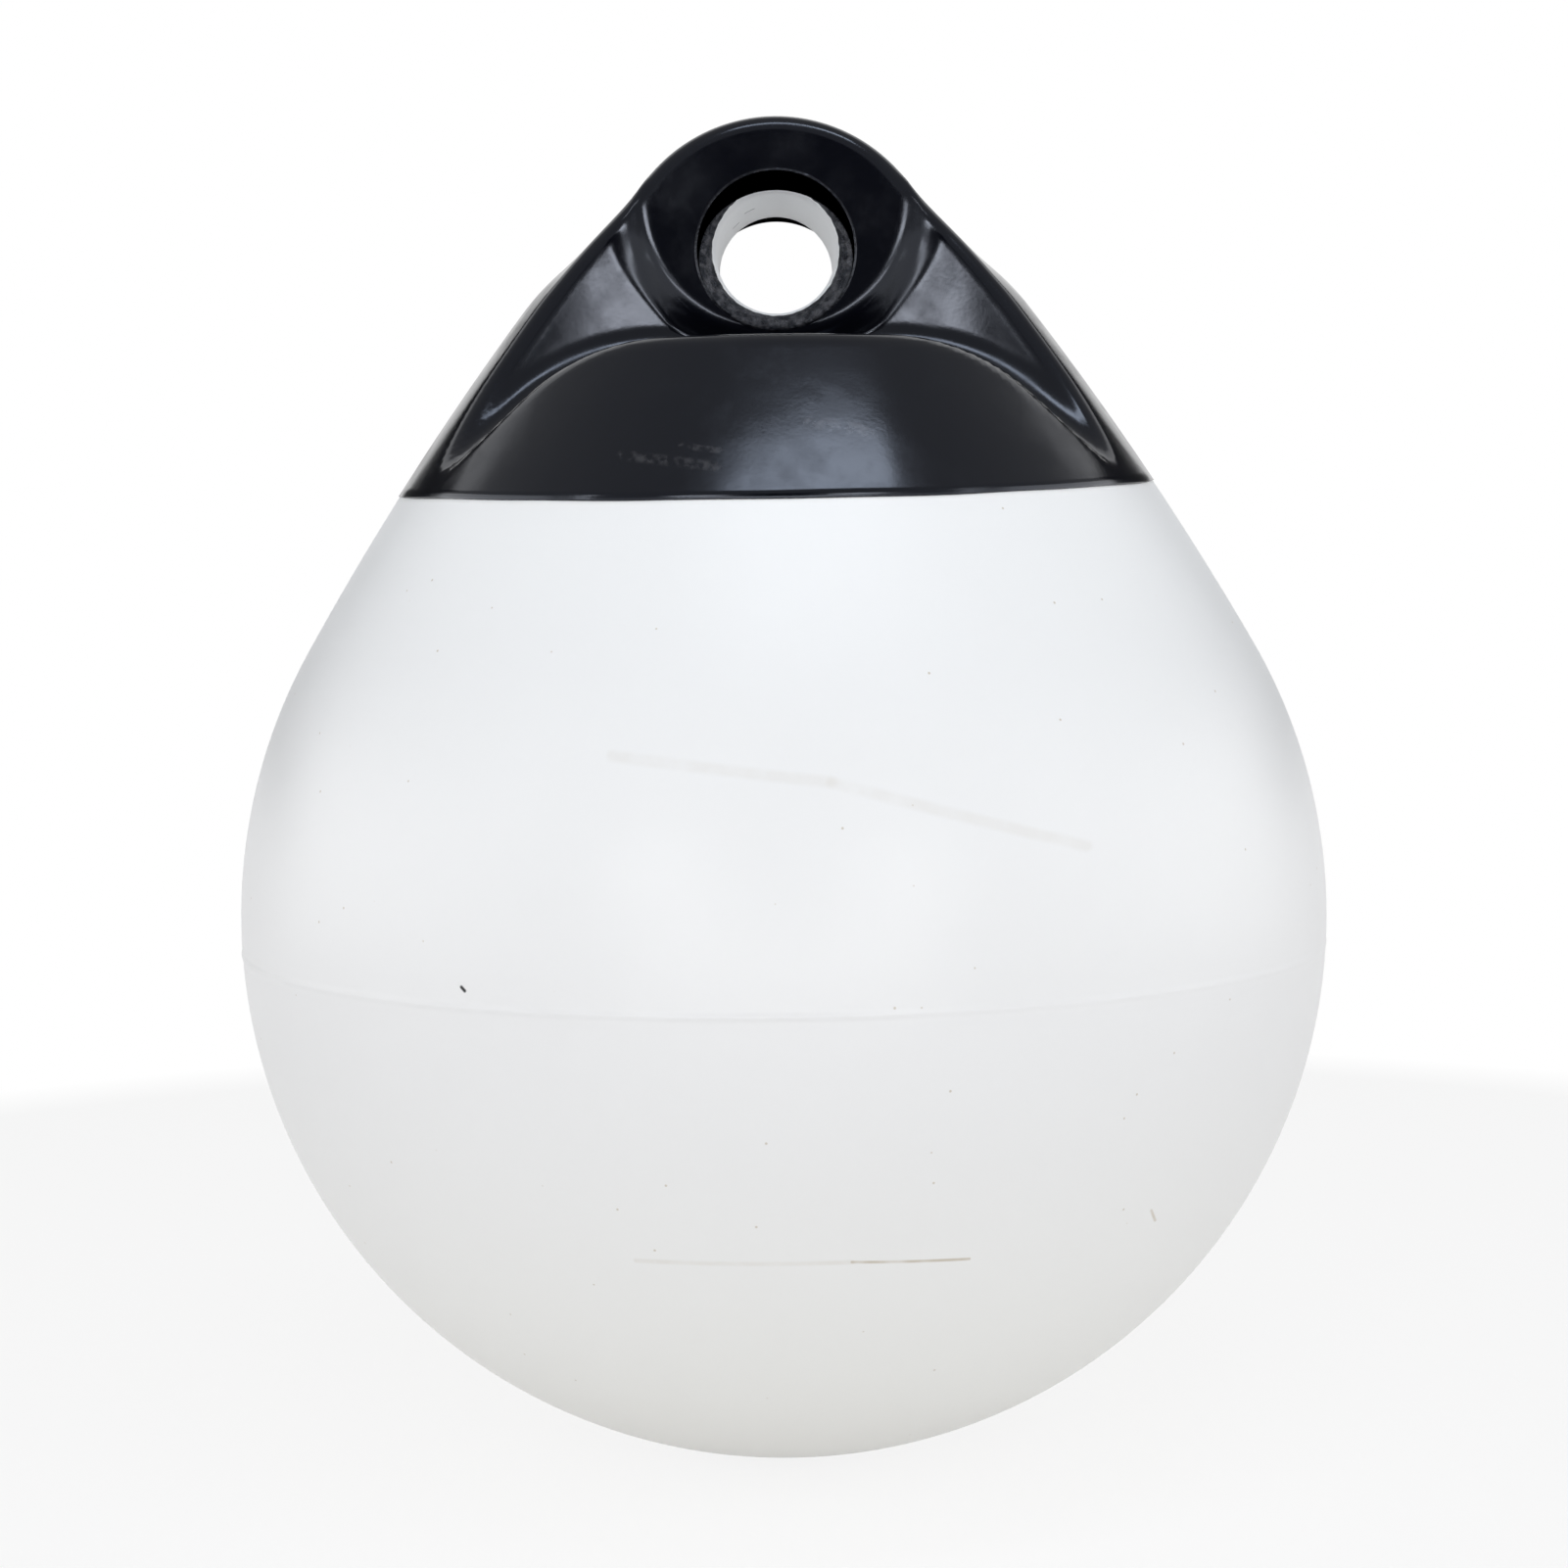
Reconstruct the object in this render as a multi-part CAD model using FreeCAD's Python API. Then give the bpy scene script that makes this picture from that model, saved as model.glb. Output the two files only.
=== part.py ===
import FreeCAD, Part
import os
from math import asin, atan2, cos, degrees, radians, sin, sqrt, tan

from FreeCAD import Placement, Rotation, Vector

# Inflatable ball fender with a solid rope-eye head. Millimetres.
# The origin is the middle of the rope eye, +Z is up through the head and the eye's axis is Y.
# The fender is symmetrical left to right, and front to back apart from the valve.

# Ball and shoulders, turned about Z
ball_radius = 150.0
eye_above_ball = 30.0
wall = 3.0
flank_radius = 850.0
flank_start_angle = 29.7
shoulder_radius = 68.0
shoulder_start_angle = 37.1

# Mould seam round the ball
seam_below_centre = 7.0
seam_height = 0.6
seam_width = 2.6

# Arch that rises out of the shoulders and holds the eye
arch_radius = 44.0
arch_below_eye = 8.6
arch_root_fillet = 50.0

# Scoops in front and behind, which leave the web between them
web_half_thickness = 22.0
drum_radius = 170.0
floor_below_eye = 27.0
floor_flat_half_width = 28.0
floor_bend_radius = 55.0
floor_slope_angle = 42.0
cove_fillet = 7.0
rim_fillet = 4.0

# Round boss on each face of the web
boss_half_thickness = 30.0
boss_face_radius = 36.0
boss_root_radius = 46.0
boss_above_eye = 14.0
boss_lip_fillet = 4.0
boss_root_fillet = 4.5

# Rope eye
eye_radius = 16.0
mouth_radius = 21.0
mouth_depth = 8.0

# Coat of colour over the head
coat_thickness = 0.4
coat_edge_below_eye = 63.0
coat_forward_tilt = 3.8
coat_side_tilt = 1.1
coat_eye_radius = 17.3

# Inflation valve on the back shoulder: its bush, the plug screw in the bush and the ring under its head
valve_above_coat_edge = 22.0
bush_flange_radius = 10.0
bush_flange_thickness = 2.2
bush_flange_fillet = 0.6
bush_stem_radius = 6.0
bush_length = 17.0
valve_boss_radius = 15.0
valve_boss_depth = 14.0
screw_head_radius = 4.5
screw_head_thickness = 2.6
screw_head_fillet = 0.4
screw_shank_radius = 2.8
screw_shank_length = 11.0
screw_slot_width = 1.2
screw_slot_depth = 1.3
seal_thickness = 0.8
air_way_radius = 1.5
fit_clearance = 0.1

# Places worked out from the sizes above
y_axis = Vector(0, 1, 0)
z_axis = Vector(0, 0, 1)
ball_centre_z = -eye_above_ball - ball_radius
far = 2 * (ball_radius - ball_centre_z)
on_surface = 1e-4
overcut = 1.0


def around(centre, radius, angle):
    """Point (r, z) on a circle of the meridian, at an angle above the horizon."""
    return centre[0] + radius * cos(radians(angle)), centre[1] + radius * sin(radians(angle))


ball_centre = (0.0, ball_centre_z)
flank_centre = around(ball_centre, ball_radius - flank_radius, flank_start_angle)
shoulder_centre = around(flank_centre, flank_radius - shoulder_radius, shoulder_start_angle)
valve_height = valve_above_coat_edge - coat_edge_below_eye
valve_angle = degrees(asin((valve_height - flank_centre[1]) / flank_radius))
valve_spot = around(flank_centre, flank_radius, valve_angle)
valve_axis = Vector(0, cos(radians(valve_angle)), sin(radians(valve_angle)))
valve_place = Placement(Vector(0, valve_spot[0], valve_spot[1]), Rotation(z_axis, valve_axis))
scoop_half_width = drum_radius * cos(radians(45))
pocket_depth = screw_head_thickness + seal_thickness
shank_way_radius = screw_shank_radius + fit_clearance


def in_section(r, z):
    return Vector(r, 0, z)


def arc(centre, radius, start, end):
    """Edge of the meridian between two angles of one circle."""
    points = [in_section(*around(centre, radius, a)) for a in (start, (start + end) / 2, end)]
    return Part.Arc(*points).toShape()


def line(start, end):
    return Part.LineSegment(start, end).toShape()


def turned_form(grow):
    """Ball, flank and shoulder turned in one, with every outer surface moved out by grow."""
    top = in_section(shoulder_centre[0], shoulder_centre[1] + shoulder_radius + grow)
    axis_top = in_section(0, top.z)
    axis_bottom = in_section(0, ball_centre_z - ball_radius - grow)
    edges = [
        arc(ball_centre, ball_radius + grow, -90, flank_start_angle),
        arc(flank_centre, flank_radius + grow, flank_start_angle, shoulder_start_angle),
        arc(shoulder_centre, shoulder_radius + grow, shoulder_start_angle, 90),
        line(top, axis_top),
        line(axis_top, axis_bottom),
    ]
    return Part.Face(Part.Wire(edges)).revolve(Vector(0, 0, 0), z_axis, 360)


def middle_of(edge):
    return Part.Vertex(edge.valueAt((edge.FirstParameter + edge.LastParameter) / 2))


def edges_on_both(shape, first, second):
    """Edges of shape that lie on the skin of both of the solids that it was made from."""
    skins = [Part.Shell(solid.Faces) for solid in (first, second)]
    found = []
    for edge in shape.Edges:
        if edge.Length < on_surface or edge.BoundBox.ZMin < ball_centre_z:
            continue
        middle = middle_of(edge)
        if all(middle.distToShape(skin)[0] < on_surface for skin in skins):
            found.append(edge)
    return found


def shoulder_with_arch(grow):
    """Turned form with the arch over it, blended where they meet."""
    half = boss_half_thickness + rim_fillet
    arch = Part.makeCylinder(arch_radius + grow, 2 * half, Vector(0, -half, -arch_below_eye), y_axis)
    turned = turned_form(grow)
    form = turned.fuse(arch)
    shared = edges_on_both(form, turned, arch)
    along_eye = [edge for edge in shared if edge.BoundBox.YLength > on_surface]
    return form.makeFillet(arch_root_fillet - grow, along_eye)


def floor_profile(lift):
    """Closed outline, in XZ, of the space above the arched floor of a scoop."""
    bend = floor_bend_radius + lift
    centre = (floor_flat_half_width, -floor_below_eye - floor_bend_radius)
    steep = 90 - floor_slope_angle
    foot = in_section(*around(centre, bend, steep))
    run = scoop_half_width - foot.x
    out = in_section(scoop_half_width, foot.z - run * tan(radians(floor_slope_angle)))
    top = in_section(scoop_half_width, boss_above_eye + 2 * boss_root_radius)
    half = [arc(centre, bend, 90, steep), line(foot, out), line(out, top)]
    mirrored = [edge.mirror(Vector(0, 0, 0), Vector(1, 0, 0)) for edge in half]
    crown = in_section(*around(centre, bend, 90))
    flat = line(Vector(-crown.x, 0, crown.z), crown)
    lid = line(top, Vector(-top.x, 0, top.z))
    return Part.Wire(Part.__sortEdges__(half + mirrored + [flat, lid]))


def is_round(face, radius):
    return isinstance(face.Surface, Part.Cylinder) and abs(face.Surface.Radius - radius) < on_surface


def scoop(side, grow):
    """Tool that cuts one scoop: a drum's wall above an arched floor, with the boss left standing.

    side is -1 for the front and 1 for the back. A coat makes the tool smaller by grow.
    """
    block = Part.Face(floor_profile(grow)).extrude(Vector(0, side * far, 0))
    drum_place = Vector(0, side * (web_half_thickness + drum_radius), -far)
    drum = Part.makeCylinder(drum_radius - grow, 2 * far, drum_place, z_axis)
    tool = block.common(drum)
    foot = []
    for edge in tool.Edges:
        walls = [f for f in tool.ancestorsOfType(edge, Part.Face) if is_round(f, drum_radius - grow)]
        if len(walls) == 1 and edge.BoundBox.ZMax < -floor_below_eye + grow + on_surface:
            foot.append(edge)
    tool = tool.makeFillet(cove_fillet - grow, foot)

    step = boss_half_thickness - web_half_thickness
    spread = (boss_root_radius - boss_face_radius) / step
    lean = atan2(step, boss_root_radius - boss_face_radius)
    face_radius = boss_face_radius + grow * tan(lean / 2)
    depth = boss_half_thickness
    place = Vector(0, side * grow, boss_above_eye)
    boss = Part.makeCone(face_radius + spread * depth, face_radius, depth, place, Vector(0, side, 0))
    tool = tool.cut(boss)
    face_y = side * (boss_half_thickness + grow)

    def beside_boss(edge):
        faces = tool.ancestorsOfType(edge, Part.Face)
        return len(faces) == 2 and sum(isinstance(f.Surface, Part.Cone) for f in faces) == 1

    def on_face(edge):
        box = edge.BoundBox
        return max(abs(box.YMin - face_y), abs(box.YMax - face_y)) < on_surface

    lip = [edge for edge in tool.Edges if beside_boss(edge) and on_face(edge)]
    tool = tool.makeFillet(boss_lip_fillet + grow, lip)
    root = [edge for edge in tool.Edges if beside_boss(edge) and not isinstance(edge.Curve, Part.Circle)]
    return tool.makeFillet(boss_root_fillet - grow, root)


def outer_form(grow):
    """Whole outside of the fender without seam, eye or valve, moved out by grow."""
    form = shoulder_with_arch(grow)
    for side in (-1, 1):
        tool = scoop(side, grow)
        before = form
        form = before.cut(tool)
        form = form.makeFillet(rim_fillet + grow, edges_on_both(form, before, tool))
    return form


def seam_bead():
    """Ring of flash left where the mould halves met."""
    height = ball_centre_z - seam_below_centre
    skin_radius = sqrt(ball_radius**2 - seam_below_centre**2)
    bead_radius = (seam_height**2 + (seam_width / 2) ** 2) / (2 * seam_height)
    return Part.makeTorus(skin_radius + seam_height - bead_radius, bead_radius, Vector(0, 0, height), z_axis)


def eye_hole(grow):
    """Space in the rope eye: a straight land that flares at both mouths, turned about Y."""
    land = boss_half_thickness - mouth_depth
    flare = mouth_radius - eye_radius
    round_radius = (mouth_depth**2 + flare**2) / (2 * flare)
    centre_x = eye_radius + round_radius
    face_y = boss_half_thickness + grow

    def on_round(y):
        return Vector(centre_x - sqrt((round_radius + grow) ** 2 - (abs(y) - land) ** 2), y, 0)

    def mouth(side):
        depths = (land, (land + face_y) / 2, face_y)
        return [on_round(side * depth) for depth in depths]

    back = mouth(1)
    front = mouth(-1)
    past = Vector(0, boss_root_radius, 0)
    out_back = Vector(back[2].x, past.y, 0)
    out_front = Vector(front[2].x, -past.y, 0)
    edges = [
        line(-past, out_front),
        line(out_front, front[2]),
        Part.Arc(front[2], front[1], front[0]).toShape(),
        line(front[0], back[0]),
        Part.Arc(back[0], back[1], back[2]).toShape(),
        line(back[2], out_back),
        line(out_back, past),
        line(past, -past),
    ]
    return Part.Face(Part.Wire(edges)).revolve(Vector(0, 0, 0), y_axis, 360)


def cavity():
    """Air space: the turned form one wall in, closed above by the scoop floors one wall down."""
    lid = Part.Face(floor_profile(-wall)).extrude(Vector(0, 2 * far, 0))
    lid.translate(Vector(0, -far, 0))
    return turned_form(-wall).cut(lid)


def rod(radius, top, length):
    """Cylinder about Z that hangs down from top, before it is placed at the valve."""
    return Part.makeCylinder(radius, length, Vector(0, 0, top - length), z_axis)


def at_valve(shape):
    """Shape built about Z, with the skin at z = 0, moved to the valve's place on the back shoulder."""
    return shape.transformed(valve_place.toMatrix(), True)


def round_top(solid, radius):
    """Solid with the round edges at z = 0 filleted."""
    edges = [e for e in solid.Edges if isinstance(e.Curve, Part.Circle) and abs(e.BoundBox.ZMin) < on_surface]
    return solid.makeFillet(radius, edges)


def valve_seat():
    """Recess and hole that take the bush."""
    recess = rod(bush_flange_radius + fit_clearance, bush_flange_thickness, 2 * bush_flange_thickness)
    hole = rod(bush_stem_radius + fit_clearance, 0, 2 * bush_length)
    return at_valve(recess.fuse(hole))


def make_moulded_body(form):
    """One hollow moulding: ball, solid head, eye, seam and the thickening behind the valve."""
    boss = at_valve(rod(valve_boss_radius, -wall / 2, valve_boss_depth - wall / 2))
    body = form.fuse(seam_bead()).cut(cavity())
    return body.fuse(boss).cut(valve_seat()).cut(eye_hole(0))


def make_head_coat(form):
    """Skin of colour over the head, down to a flat edge that leans a little forwards and sideways."""
    above = Part.makeBox(2 * far, 2 * far, far, Vector(-far, -far, 0))
    above.rotate(Vector(0, 0, 0), Vector(1, 0, 0), coat_forward_tilt)
    above.rotate(Vector(0, 0, 0), y_axis, -coat_side_tilt)
    above.translate(Vector(0, 0, -coat_edge_below_eye))
    coated = outer_form(coat_thickness).cut(eye_hole(coat_thickness))
    skin = coated.common(above).cut(form.cut(eye_hole(0)))
    bare_eye = Part.makeCylinder(coat_eye_radius, 2 * far, Vector(0, -far, 0), y_axis)
    return skin.cut(bare_eye).cut(valve_seat())


def make_valve_body():
    """Flanged bush with a pocket for the screw head and an air way through its end."""
    flange = round_top(rod(bush_flange_radius, 0, bush_flange_thickness), bush_flange_fillet)
    stem = rod(bush_stem_radius, -bush_flange_thickness, bush_length - bush_flange_thickness)
    pocket = rod(screw_head_radius + fit_clearance, overcut, pocket_depth + overcut)
    shank_way = rod(shank_way_radius, 0, pocket_depth + screw_shank_length + overcut)
    air_way = rod(air_way_radius, 0, bush_length)
    return at_valve(flange.fuse(stem).cut(pocket.fuse(shank_way).fuse(air_way)))


def make_valve_screw():
    """Plug screw with a slotted round head, flush with the flange."""
    head = round_top(rod(screw_head_radius, 0, screw_head_thickness), screw_head_fillet)
    shank = rod(screw_shank_radius, -screw_head_thickness, seal_thickness + screw_shank_length)
    corner = Vector(-screw_head_radius, -screw_slot_width / 2, -screw_slot_depth)
    slot = Part.makeBox(2 * screw_head_radius, screw_slot_width, screw_slot_depth, corner)
    return at_valve(head.fuse(shank).cut(slot))


def make_valve_seal():
    """Flat ring between the screw head and the floor of the pocket."""
    ring = rod(screw_head_radius, -screw_head_thickness, seal_thickness)
    return at_valve(ring.cut(rod(shank_way_radius, 0, pocket_depth)))


def main():
    os.makedirs("parts", exist_ok=True)
    form = outer_form(0)
    pieces = {
        "moulded_body": make_moulded_body(form),
        "head_coat": make_head_coat(form),
        "valve_body": make_valve_body(),
        "valve_screw": make_valve_screw(),
        "valve_seal": make_valve_seal(),
    }
    for name, shape in pieces.items():
        solid = shape.removeSplitter()
        print(name, "valid", solid.isValid(), "solids", len(solid.Solids), "volume", round(solid.Volume))
        solid.exportStep(f"parts/{name}.step")


if __name__ == "__main__":
    main()
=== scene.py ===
"""Looks of an inflatable ball fender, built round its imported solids. Metres, +Z up, rope eye along Y."""

import bmesh
import bpy
import numpy as np
from bpy.props import FloatProperty, FloatVectorProperty, IntProperty
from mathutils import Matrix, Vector


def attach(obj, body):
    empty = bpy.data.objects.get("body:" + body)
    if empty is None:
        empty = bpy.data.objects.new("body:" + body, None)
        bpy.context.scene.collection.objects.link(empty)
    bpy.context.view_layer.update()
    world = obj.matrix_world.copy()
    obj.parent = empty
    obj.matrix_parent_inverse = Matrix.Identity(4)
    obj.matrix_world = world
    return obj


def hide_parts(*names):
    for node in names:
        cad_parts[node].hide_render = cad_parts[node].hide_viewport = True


bl_info = {
    "name": "Ball fender",
    "version": (1, 0, 0),
    "blender": (4, 5, 0),
    "location": "View3D > Sidebar > Fender",
    "description": "Builds the moulded body, the head's coat, the valve and a studio round them",
    "category": "Object",
}

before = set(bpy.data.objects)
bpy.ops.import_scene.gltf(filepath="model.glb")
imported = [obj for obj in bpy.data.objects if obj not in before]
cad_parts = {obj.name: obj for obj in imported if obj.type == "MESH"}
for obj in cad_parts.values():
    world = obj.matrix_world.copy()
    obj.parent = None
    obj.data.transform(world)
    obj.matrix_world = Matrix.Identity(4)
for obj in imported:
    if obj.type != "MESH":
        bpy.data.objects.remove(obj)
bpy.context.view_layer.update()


def length(name, value, about):
    return FloatProperty(name=name, default=value, description=about, unit="LENGTH", precision=4)


def angle(name, degrees, about):
    return FloatProperty(name=name, default=np.radians(degrees), description=about, unit="ROTATION")


def plain(name, value, about):
    return FloatProperty(name=name, default=value, description=about)


def count(name, value, about):
    return IntProperty(name=name, default=value, description=about, min=2)


def point(name, value, about):
    return FloatVectorProperty(name=name, default=value, description=about, subtype="XYZ", unit="LENGTH")


def span(name, value, about):
    return FloatVectorProperty(name=name, default=value, description=about, size=2, unit="LENGTH")


def colour(name, value, about):
    return FloatVectorProperty(name=name, default=value, description=about, subtype="COLOR", min=0, max=1)


class FenderForm(bpy.types.PropertyGroup):
    ball_radius: length("Ball radius", 0.150, "Radius of the ball")
    ball_drop: length("Ball drop", 0.180, "From the middle of the eye down to the middle of the ball")
    flank_radius: length("Flank radius", 0.850, "Radius of the long arc between ball and shoulder")
    flank_start: angle("Flank start", 29.7, "Where the ball turns into the flank")
    shoulder_radius: length("Shoulder radius", 0.068, "Radius of the shoulder's arc")
    shoulder_start: angle("Shoulder start", 37.1, "Where the flank turns into the shoulder")
    arch_radius: length("Arch radius", 0.044, "Radius of the arch over the eye")
    arch_drop: length("Arch drop", 0.0086, "From the eye down to the arch's axis")
    arch_reach: length("Arch reach", 0.046, "Half the arch's length along the eye")
    arch_root: length("Arch root", 0.050, "Fillet between arch and shoulders")
    web_half: length("Half web", 0.022, "Half the web's least thickness")
    drum_radius: length("Drum radius", 0.170, "Radius of the scoops' upright wall")
    floor_drop: length("Floor drop", 0.027, "From the eye down to the scoops' floor")
    floor_half: length("Half floor", 0.028, "Half the width of the floor's flat part")
    floor_bend: length("Floor bend", 0.055, "Radius where the floor bends down")
    floor_slope: angle("Floor slope", 42.0, "Slope of the floor's sides")
    cove: length("Cove", 0.008, "Fillet between floor and wall")
    rim: length("Rim", 0.004, "Rounding of the outer edges")
    boss_half: length("Half boss", 0.030, "From the middle of the eye to the boss's face")
    boss_face: length("Boss face", 0.036, "Radius of the boss's face")
    boss_lift: length("Boss lift", 0.014, "From the eye up to the boss's axis")
    boss_lip: length("Boss lip", 0.006, "Rounding of the boss's edge")
    boss_root: length("Boss root", 0.003, "Fillet at the boss's foot under the eye")
    boss_flank: length("Boss flank", 0.014, "Fillet at the boss's foot beside the eye")
    boss_low: length("Boss low", -0.020, "Below it the foot has the root's fillet")
    boss_high: length("Boss high", 0.006, "Above it the foot has the flank's fillet")
    eye_radius: length("Eye radius", 0.016, "Radius of the rope eye")
    mouth_radius: length("Mouth radius", 0.021, "Radius of the flared mouth")
    mouth_depth: length("Mouth depth", 0.008, "Depth of the flare")
    seam_drop: length("Seam drop", 0.007, "From the ball's middle down to the mould seam")
    seam_height: length("Seam height", 0.0005, "Height of the flash on the seam")
    seam_half: length("Half seam", 0.0009, "Half the flash's width")
    ring_drop: length("Ring drop", 0.066, "From the eye down to the ring where the head's grids end")
    ring_band: length("Ring band", 0.045, "Height over which the ring's slide fades out")
    columns: count("Columns", 112, "Faces round half a mouth")
    rows: count("Rows", 96, "Faces from the mouth to the coat's edge")
    ball_rows: count("Ball rows", 84, "Faces from the coat's edge to the bottom")


class FenderCoat(bpy.types.PropertyGroup):
    thickness: length("Thickness", 0.00036, "From the moulding to the coat's outside")
    gap: length("Gap", 0.000054, "From the moulding to the coat's inside")
    edge_drop: length("Edge drop", 0.063, "From the eye down to the coat's edge at the middle")
    forward_tilt: angle("Forward tilt", 3.8, "How far the edge dips towards the front")
    side_tilt: angle("Side tilt", 0.7, "How far the edge dips to the left")
    side_rise: length("Side rise", 0.0030, "How much higher the edge is at the sides")
    waviness: length("Waviness", 0.0004, "How far the edge strays from a plane")
    eye_edge: length("Edge in the eye", 0.0173, "Radius where the coat stops in the flare")
    eye_stray: length("Ragged edge", 0.00014, "How far the edge in the eye strays")


class FenderValve(bpy.types.PropertyGroup):
    place: angle("Place", 34.86, "Where the valve sits on the back flank")
    seat_radius: length("Seat radius", 0.0101, "Radius of the recess for the bush")
    seat_depth: length("Seat depth", 0.0022, "Depth of the recess")
    hole_radius: length("Hole radius", 0.0061, "Radius of the hole for the bush's stem")
    hole_depth: length("Hole depth", 0.010, "Depth to which the hole is shown")


class FenderFinish(bpy.types.PropertyGroup):
    # Painted light: the white above is made lighter and cooler, standing in for the top lamp's light.
    vinyl_top_painted_light: colour("Vinyl above", (0.96, 0.975, 0.99), "White of the moulding near the head")
    vinyl: colour("Vinyl", (0.84, 0.842, 0.847), "White of the moulding round its middle")
    # Painted light: the white below is made lighter and warmer, standing in for bounce light from the floor.
    vinyl_low_painted_bounce: colour("Vinyl below", (0.88, 0.872, 0.835), "White of the underside, painted warmer as floor bounce")
    vinyl_rough: plain("Vinyl roughness", 0.38, "Roughness of clean vinyl")
    coat: colour("Coat", (0.0015, 0.0018, 0.0040), "Black of the coat")
    # Painted reflection: a bluish tint on all of the coat's reflections, standing in for cool studio light.
    coat_painted_sheen: colour("Coat reflection", (0.80, 0.86, 1.0), "Tint of what the coat reflects")
    coat_rough: plain("Coat roughness", 0.15, "Roughness of the clean coat")
    smudge: plain("Smudges", 0.12, "Roughness that smudges add")
    # The rough crumbs are real; their grey is painted glints of light caught by the roughness.
    crumb_glint: colour("Crumbs", (0.10, 0.10, 0.11), "Grey of the coat's crumbs in the eye's flare")
    crumb_rough: plain("Crumb roughness", 0.22, "Roughness that the crumbs add")
    smear: colour("Smears", (0.05, 0.05, 0.055), "Grey of the smears on the coat")
    scuff: colour("Scuff", (0.42, 0.33, 0.20), "Brown of the rubbed marks")
    bush: colour("Bush", (0.018, 0.018, 0.02), "Black of the valve's bush")
    bush_rough: plain("Bush roughness", 0.42, "Roughness of the bush")
    screw: colour("Screw", (0.72, 0.72, 0.70), "White of the plug screw")
    screw_rough: plain("Screw roughness", 0.38, "Roughness of the plug screw")
    seal: colour("Seal", (0.02, 0.02, 0.02), "Black of the sealing ring")
    seal_rough: plain("Seal roughness", 0.75, "Roughness of the sealing ring")
    paper: colour("Paper", (0.88, 0.88, 0.88), "White of the floor and backdrop")
    card: colour("Card", (0.01, 0.01, 0.01), "Black of the studio's cards")


class FenderWear(bpy.types.PropertyGroup):
    rub_start: point("Rub start", (-0.0390, 0, -0.1282), "One end of the long faint rub on the front")
    rub_bend: point("Rub bend", (0.0113, 0, -0.1344), "Where the rub bends")
    rub_end: point("Rub end", (0.0708, 0, -0.1509), "Its other end")
    rub_width: length("Rub width", 0.0018, "Half the rub's width")
    scratch_start: point("Scratch start", (-0.0358, 0, -0.2477), "Faint end of the scratch low in front")
    scratch_deep: point("Deep scratch", (0.0150, 0, -0.2477), "Where the scratch gets deeper")
    scratch_end: point("Scratch end", (0.0429, 0, -0.2490), "Its other end")
    scratch_width: length("Scratch width", 0.0008, "Half the width of the scratch's faint part")
    nick_start: point("Nick start", (0.0893, 0, -0.2434), "One end of the small mark low on the right")
    nick_end: point("Nick end", (0.0907, 0, -0.2467), "Its other end")
    nick_width: length("Nick width", 0.0005, "Half the width of the nick and the deep scratch")
    fleck1_start: point("First fleck start", (-0.0082, -0.002, 0.0137), "One end of a fleck in the eye")
    fleck1_end: point("First fleck end", (-0.0060, -0.002, 0.0148), "Its other end")
    fleck2_start: point("Second fleck start", (-0.0116, 0.007, 0.0110), "One end of the other fleck")
    fleck2_end: point("Second fleck end", (-0.0103, 0.007, 0.0122), "Its other end")
    speck_start: point("Speck start", (-0.0756, -0.1296, -0.1822), "One end of the speck above the seam")
    speck_end: point("Speck end", (-0.0748, -0.1300, -0.1830), "Its other end")
    fleck_width: length("Fleck width", 0.0006, "Half the width of flecks and speck")
    smear1_start: point("First smear start", (-0.0380, 0, -0.0572), "One end of the coat's long smear")
    smear1_end: point("First smear end", (-0.0150, 0, -0.0606), "Its other end")
    smear2_start: point("Second smear start", (-0.0236, 0, -0.0552), "One end of the short smear above it")
    smear2_end: point("Second smear end", (-0.0140, 0, -0.0566), "Its other end")
    smear3_start: point("Third smear start", (0.0080, 0, -0.0500), "One end of the smear on the right")
    smear3_end: point("Third smear end", (0.0230, 0, -0.0520), "Its other end")
    smear_width: length("Smear width", 0.0016, "Half the width of the long smear")
    front: length("Front", -0.060, "Marks drawn along Y show in front of this only")


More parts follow.
